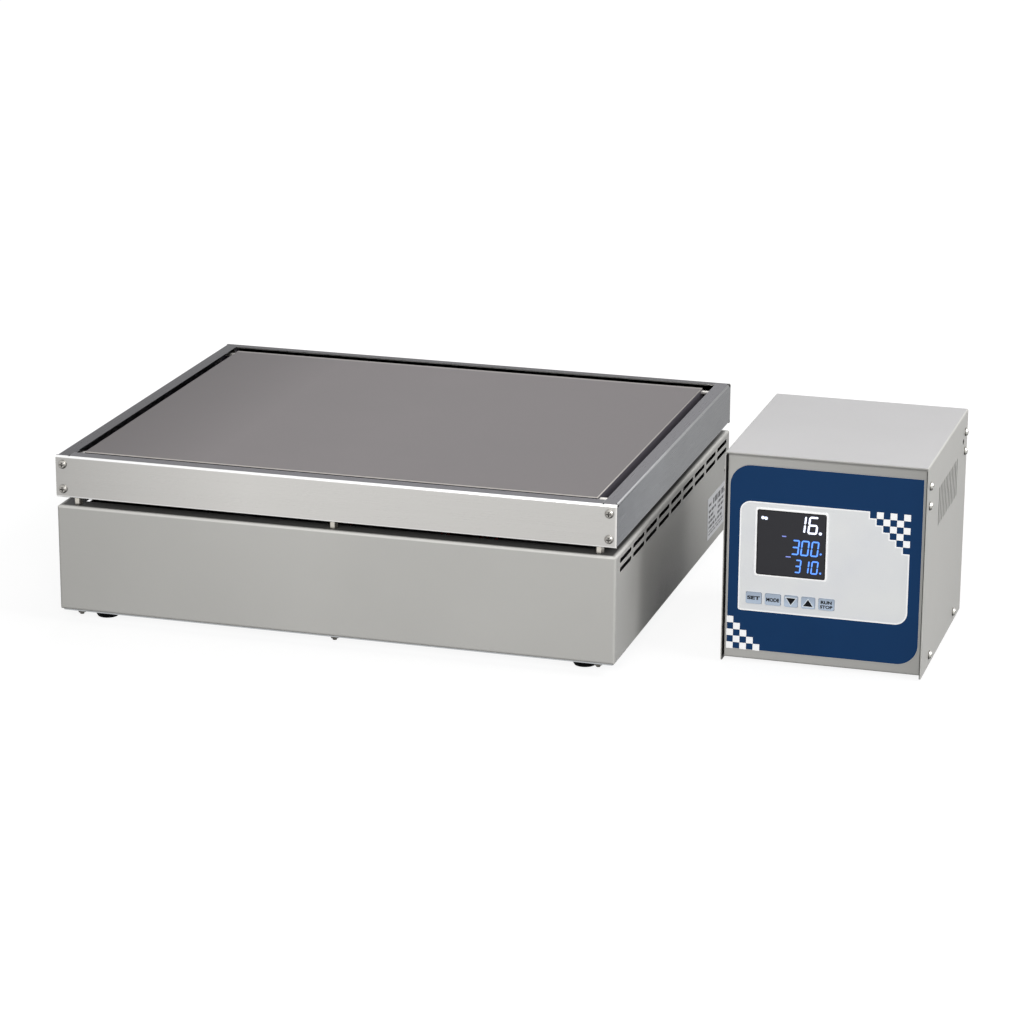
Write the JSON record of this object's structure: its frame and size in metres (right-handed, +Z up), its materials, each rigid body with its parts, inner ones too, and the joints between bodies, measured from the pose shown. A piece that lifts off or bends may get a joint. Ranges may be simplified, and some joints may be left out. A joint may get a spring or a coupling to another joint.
{
  "type": "hot plate",
  "caption": "Bench hot plate: wide flat metal heating plate in a folded frame on a vented base, with a separate box controller with digital display and press keys.",
  "frame": {"origin": "on the bench, under the middle of the box round both units", "axes": "+Z up, -Y is the front of both units, +X runs from the heating unit to the controller"},
  "size_m": [0.8136, 0.4646, 0.2005],
  "materials": {
    "painted_steel": "fine textured light grey paint",
    "frame_steel": "satin warm grey",
    "zinc_steel": "zinc plated sheet",
    "bright_steel": "bright plated fasteners",
    "coated_aluminium": "matte warm grey coating",
    "rubber_black": "matte",
    "label_silver": "blank satin label",
    "ceramic_white": "glazed",
    "lead_red": "sleeved leads",
    "connector_metal": "nickel plated",
    "black_plastic": "moulded",
    "jack_cream": "moulded",
    "insulation": "fibre board",
    "mica": "mica sheet",
    "overlay_blue": "printed film",
    "facia_light": "printed film",
    "window_dark": "smoked acrylic",
    "board_green": "circuit board",
    "key_plastic": "light blue grey",
    "spacer_brass": "turned",
    "core_steel": "varnished laminations",
    "coil_copper": "enamelled copper winding",
    "sink_aluminium": "extruded",
    "relay_plastic": "moulded",
    "rocker_red": "moulded"
  },
  "bodies": {
    "heating_unit": {"base_casing": "painted_steel", "base_bottom": "zinc_steel", "rubber_feet": "rubber_black", "foot_screws": "bright_steel", "tie_rods": "bright_steel", "hex_spacers": "bright_steel", "unit_nuts": "bright_steel", "rating_plate": "label_silver", "terminal_block": "ceramic_white", "unit_wiring": "lead_red", "heater_inlet": "connector_metal", "inlet_insert": "black_plastic", "sensor_jack": "jack_cream", "frame_left": "frame_steel", "frame_right": "frame_steel", "frame_front": "frame_steel", "frame_rear": "frame_steel", "frame_screws": "bright_steel", "heat_shield": "zinc_steel", "insulation_board": "insulation", "clamp_plate": "zinc_steel", "clamp_bolts": "bright_steel", "mica_heaters": "mica", "top_plate": "coated_aluminium", "plate_brackets": "zinc_steel", "thermocouple": "bright_steel", "overheat_thermostat": "black_plastic"},
    "controller": {"cover": "painted_steel", "front_panel": "painted_steel", "rear_panel": "painted_steel", "chassis": "zinc_steel", "cover_screws": "bright_steel", "controller_feet": "rubber_black", "heater_outlet": "connector_metal", "outlet_insert": "black_plastic", "key_switches": "black_plastic", "board_parts": "black_plastic", "terminal_strip": "black_plastic", "fuse_holder": "black_plastic", "power_switch": "black_plastic", "mains_inlet": "black_plastic", "digit_module": "black_plastic", "sensor_socket": "jack_cream", "overlay": "overlay_blue", "facia": "facia_light", "display_bezel": "facia_light", "display_window": "window_dark", "display_board": "board_green", "control_board": "board_green", "board_spacers": "spacer_brass", "transformer_core": "core_steel", "transformer_coil": "coil_copper", "heat_sink": "sink_aluminium", "relay": "relay_plastic"},
    "key_set": {"key_set": "key_plastic"},
    "key_mode": {"key_mode": "key_plastic"},
    "key_down": {"key_down": "key_plastic"},
    "key_up": {"key_up": "key_plastic"},
    "key_run": {"key_run": "key_plastic"},
    "power_rocker": {"power_rocker": "rocker_red"}
  },
  "joints": [
    {"name": "controller_slide", "type": "slide", "parent": "heating_unit", "child": "controller", "axis": [1, 0, 0], "range_m": [-0.05, 0.2]},
    {"name": "key_set_press", "type": "slide", "parent": "controller", "child": "key_set", "axis": [0, 1, 0], "range_m": [0, 0.0005], "stiffness_N_per_m": 400, "springref_m": -0.0005},
    {"name": "key_mode_press", "type": "slide", "parent": "controller", "child": "key_mode", "axis": [0, 1, 0], "range_m": [0, 0.0005], "stiffness_N_per_m": 400, "springref_m": -0.0005},
    {"name": "key_down_press", "type": "slide", "parent": "controller", "child": "key_down", "axis": [0, 1, 0], "range_m": [0, 0.0005], "stiffness_N_per_m": 400, "springref_m": -0.0005},
    {"name": "key_up_press", "type": "slide", "parent": "controller", "child": "key_up", "axis": [0, 1, 0], "range_m": [0, 0.0005], "stiffness_N_per_m": 400, "springref_m": -0.0005},
    {"name": "key_run_press", "type": "slide", "parent": "controller", "child": "key_run", "axis": [0, 1, 0], "range_m": [0, 0.0005], "stiffness_N_per_m": 400, "springref_m": -0.0005},
    {"name": "power_rocker_tilt", "type": "hinge", "parent": "controller", "child": "power_rocker", "pos_m": [0.3662, 0.0513, 0.078], "axis": [1, 0, 0], "range_deg": [-18, 0]}
  ]
}
